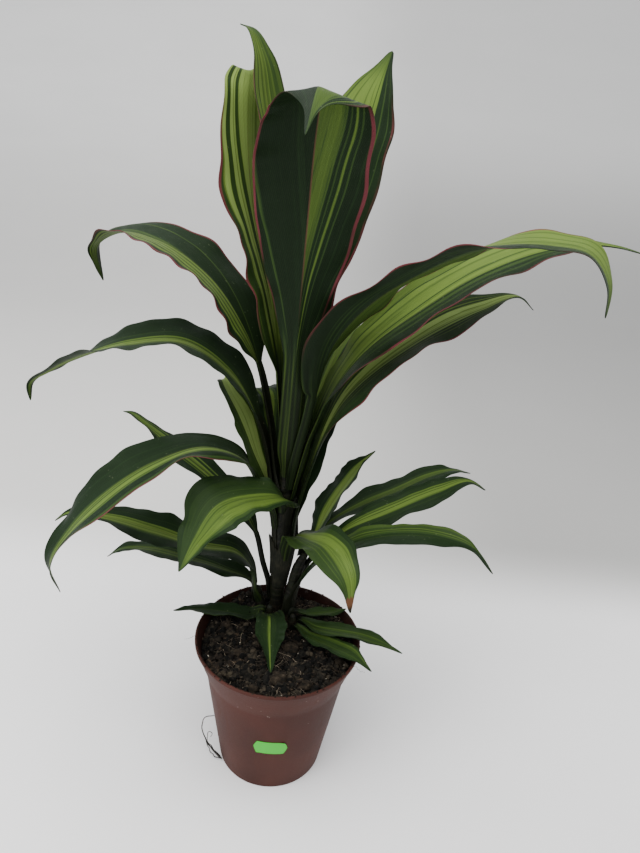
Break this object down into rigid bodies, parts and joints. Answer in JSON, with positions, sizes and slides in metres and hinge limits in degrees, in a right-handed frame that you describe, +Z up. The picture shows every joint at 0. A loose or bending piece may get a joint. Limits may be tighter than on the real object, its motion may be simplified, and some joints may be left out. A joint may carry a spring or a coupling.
{
  "type": "potted ti plant",
  "caption": "Variegated ti plant with arching strap-shaped striped leaves on short canes, growing in a round tapered plastic nursery pot filled with soil.",
  "frame": {"origin": "centre of the pot's flat underside, on the surface it stands on", "axes": "+Z up along the pot's axis, -Y towards the viewer of the picture, +X to the viewer's right"},
  "size_m": [0.3956, 0.3002, 0.5021],
  "materials": {
    "leaf": "dark green with yellow-green stripes and pink margins, satin sheen",
    "stem": "dark brown-green, matte",
    "soil": "dark crumbly potting soil with pale fibres, matte",
    "pot": "brown terracotta-coloured matte plastic",
    "label": "bright green paper, matte",
    "root": "dark brown, matte"
  },
  "bodies": {
    "root": {"basal_shoot_left": "stem", "basal_shoot_right": "stem", "drain_root": "root", "leaf_back_1": "leaf", "leaf_back_2": "leaf", "leaf_back_3": "leaf", "leaf_crown_back": "leaf", "leaf_crown_front": "leaf", "leaf_crown_left": "leaf", "leaf_crown_right": "leaf", "leaf_front_left": "leaf", "leaf_front_right": "leaf", "leaf_left_1": "leaf", "leaf_left_2": "leaf", "leaf_left_3": "leaf", "leaf_left_4": "leaf", "leaf_left_5": "leaf", "leaf_low_left_1": "leaf", "leaf_low_left_2": "leaf", "leaf_low_right_1": "leaf", "leaf_low_right_2": "leaf", "leaf_low_right_3": "leaf", "leaf_low_right_4": "leaf", "leaf_right_1": "leaf", "leaf_right_2": "leaf", "leaf_right_3": "leaf", "leaf_right_4": "leaf", "leaf_soil_front": "leaf", "leaf_soil_left": "leaf", "leaf_soil_right_1": "leaf", "leaf_soil_right_2": "leaf", "leaf_soil_right_3": "leaf", "left_shoot": "stem", "main_cane": "stem", "pot": "pot", "price_label": "label", "right_cane": "stem", "soil": "soil"}
  },
  "joints": []
}
